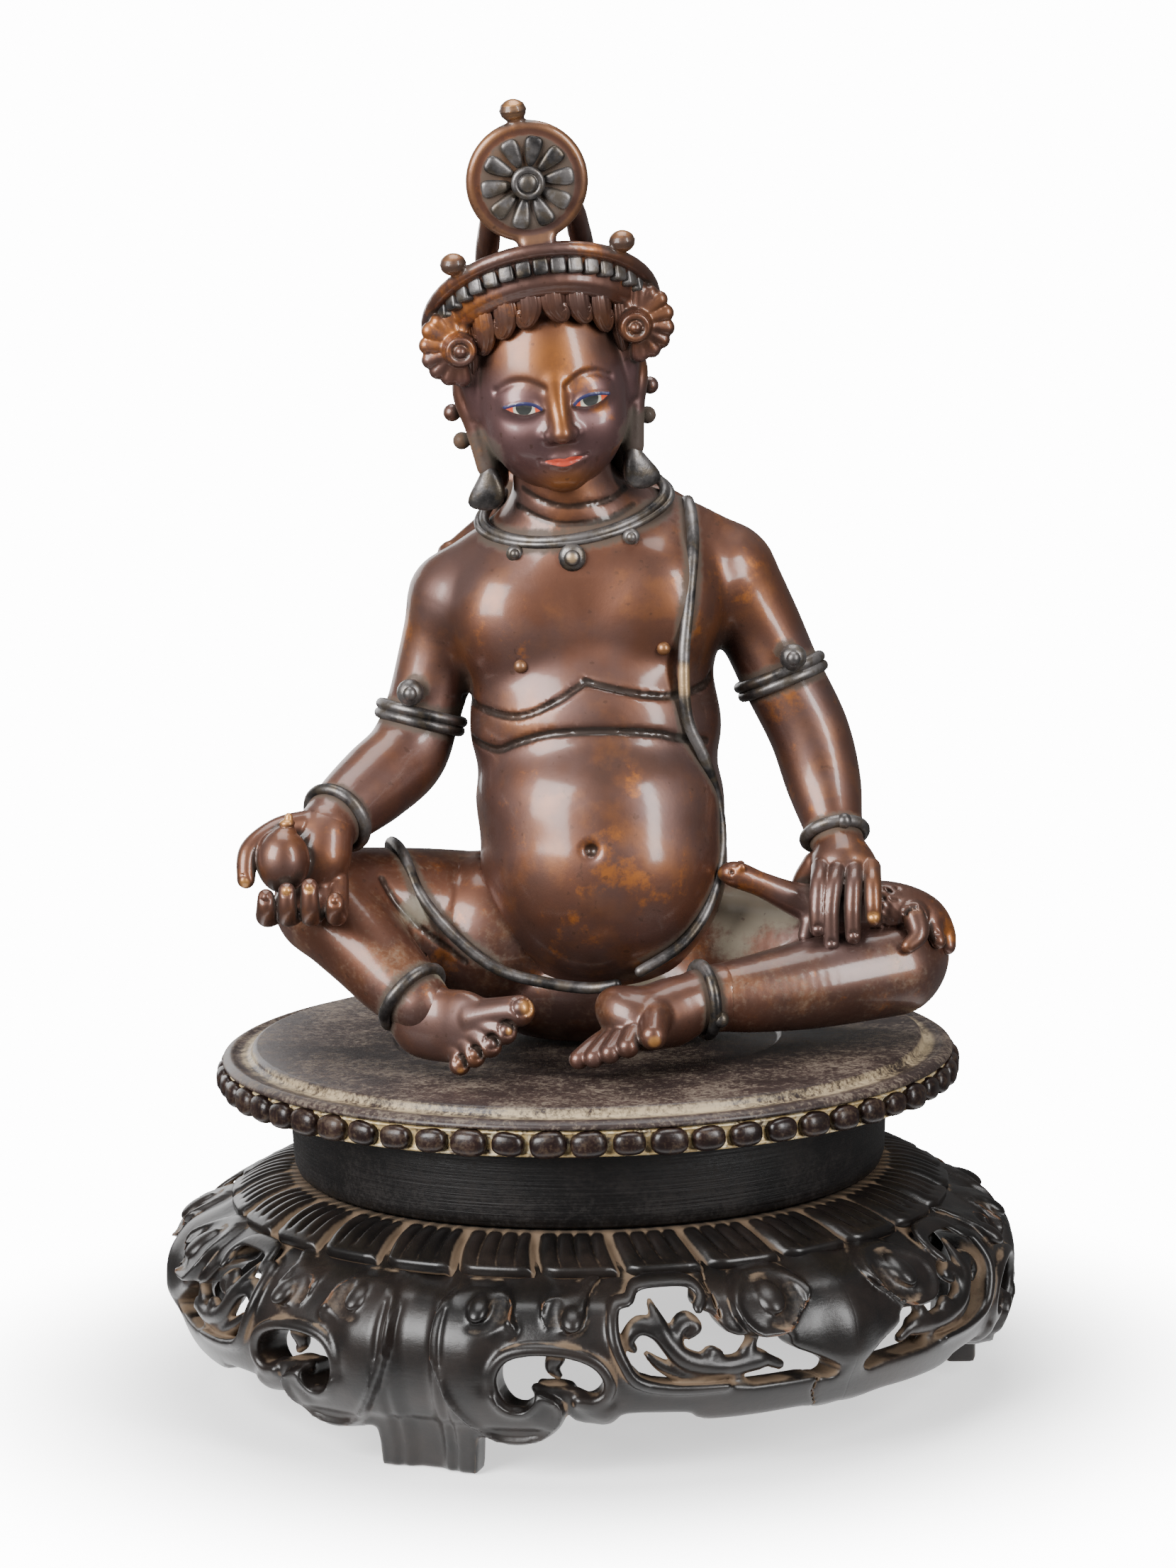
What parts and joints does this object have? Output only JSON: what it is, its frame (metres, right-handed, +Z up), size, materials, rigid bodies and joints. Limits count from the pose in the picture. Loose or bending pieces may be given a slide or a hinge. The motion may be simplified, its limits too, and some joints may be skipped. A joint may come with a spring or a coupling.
{
  "type": "kubera_figure_on_stand",
  "caption": "Seated bronze Kubera figure with silvered jewellery and a mongoose, on a round turned plinth with a beaded rim and a carved openwork wood stand",
  "frame": {"origin": "centre of the footprint of the whole, on the surface it stands on", "axes": "+X toward the viewer's right, which is the figure's left; +Y away from the viewer, the figure faces -Y; +Z up"},
  "size_m": [0.1426, 0.1426, 0.2158],
  "materials": {
    "reddish cast bronze": "old cast copper alloy rubbed to a warm reddish brown, dusty recesses, silvered wire jewellery",
    "dark brown lacquered wood": "worn dark lacquer on a turned disc, gold rubbed between the rim's beads, black drum below",
    "black-brown polished hardwood": "old black-brown polish over carved relief, tan dust in the recesses, edges worn brown"
  },
  "bodies": {
    "root": {"kubera_figure": "reddish cast bronze", "turned_plinth": "dark brown lacquered wood", "carved_stand": "black-brown polished hardwood"}
  },
  "joints": []
}
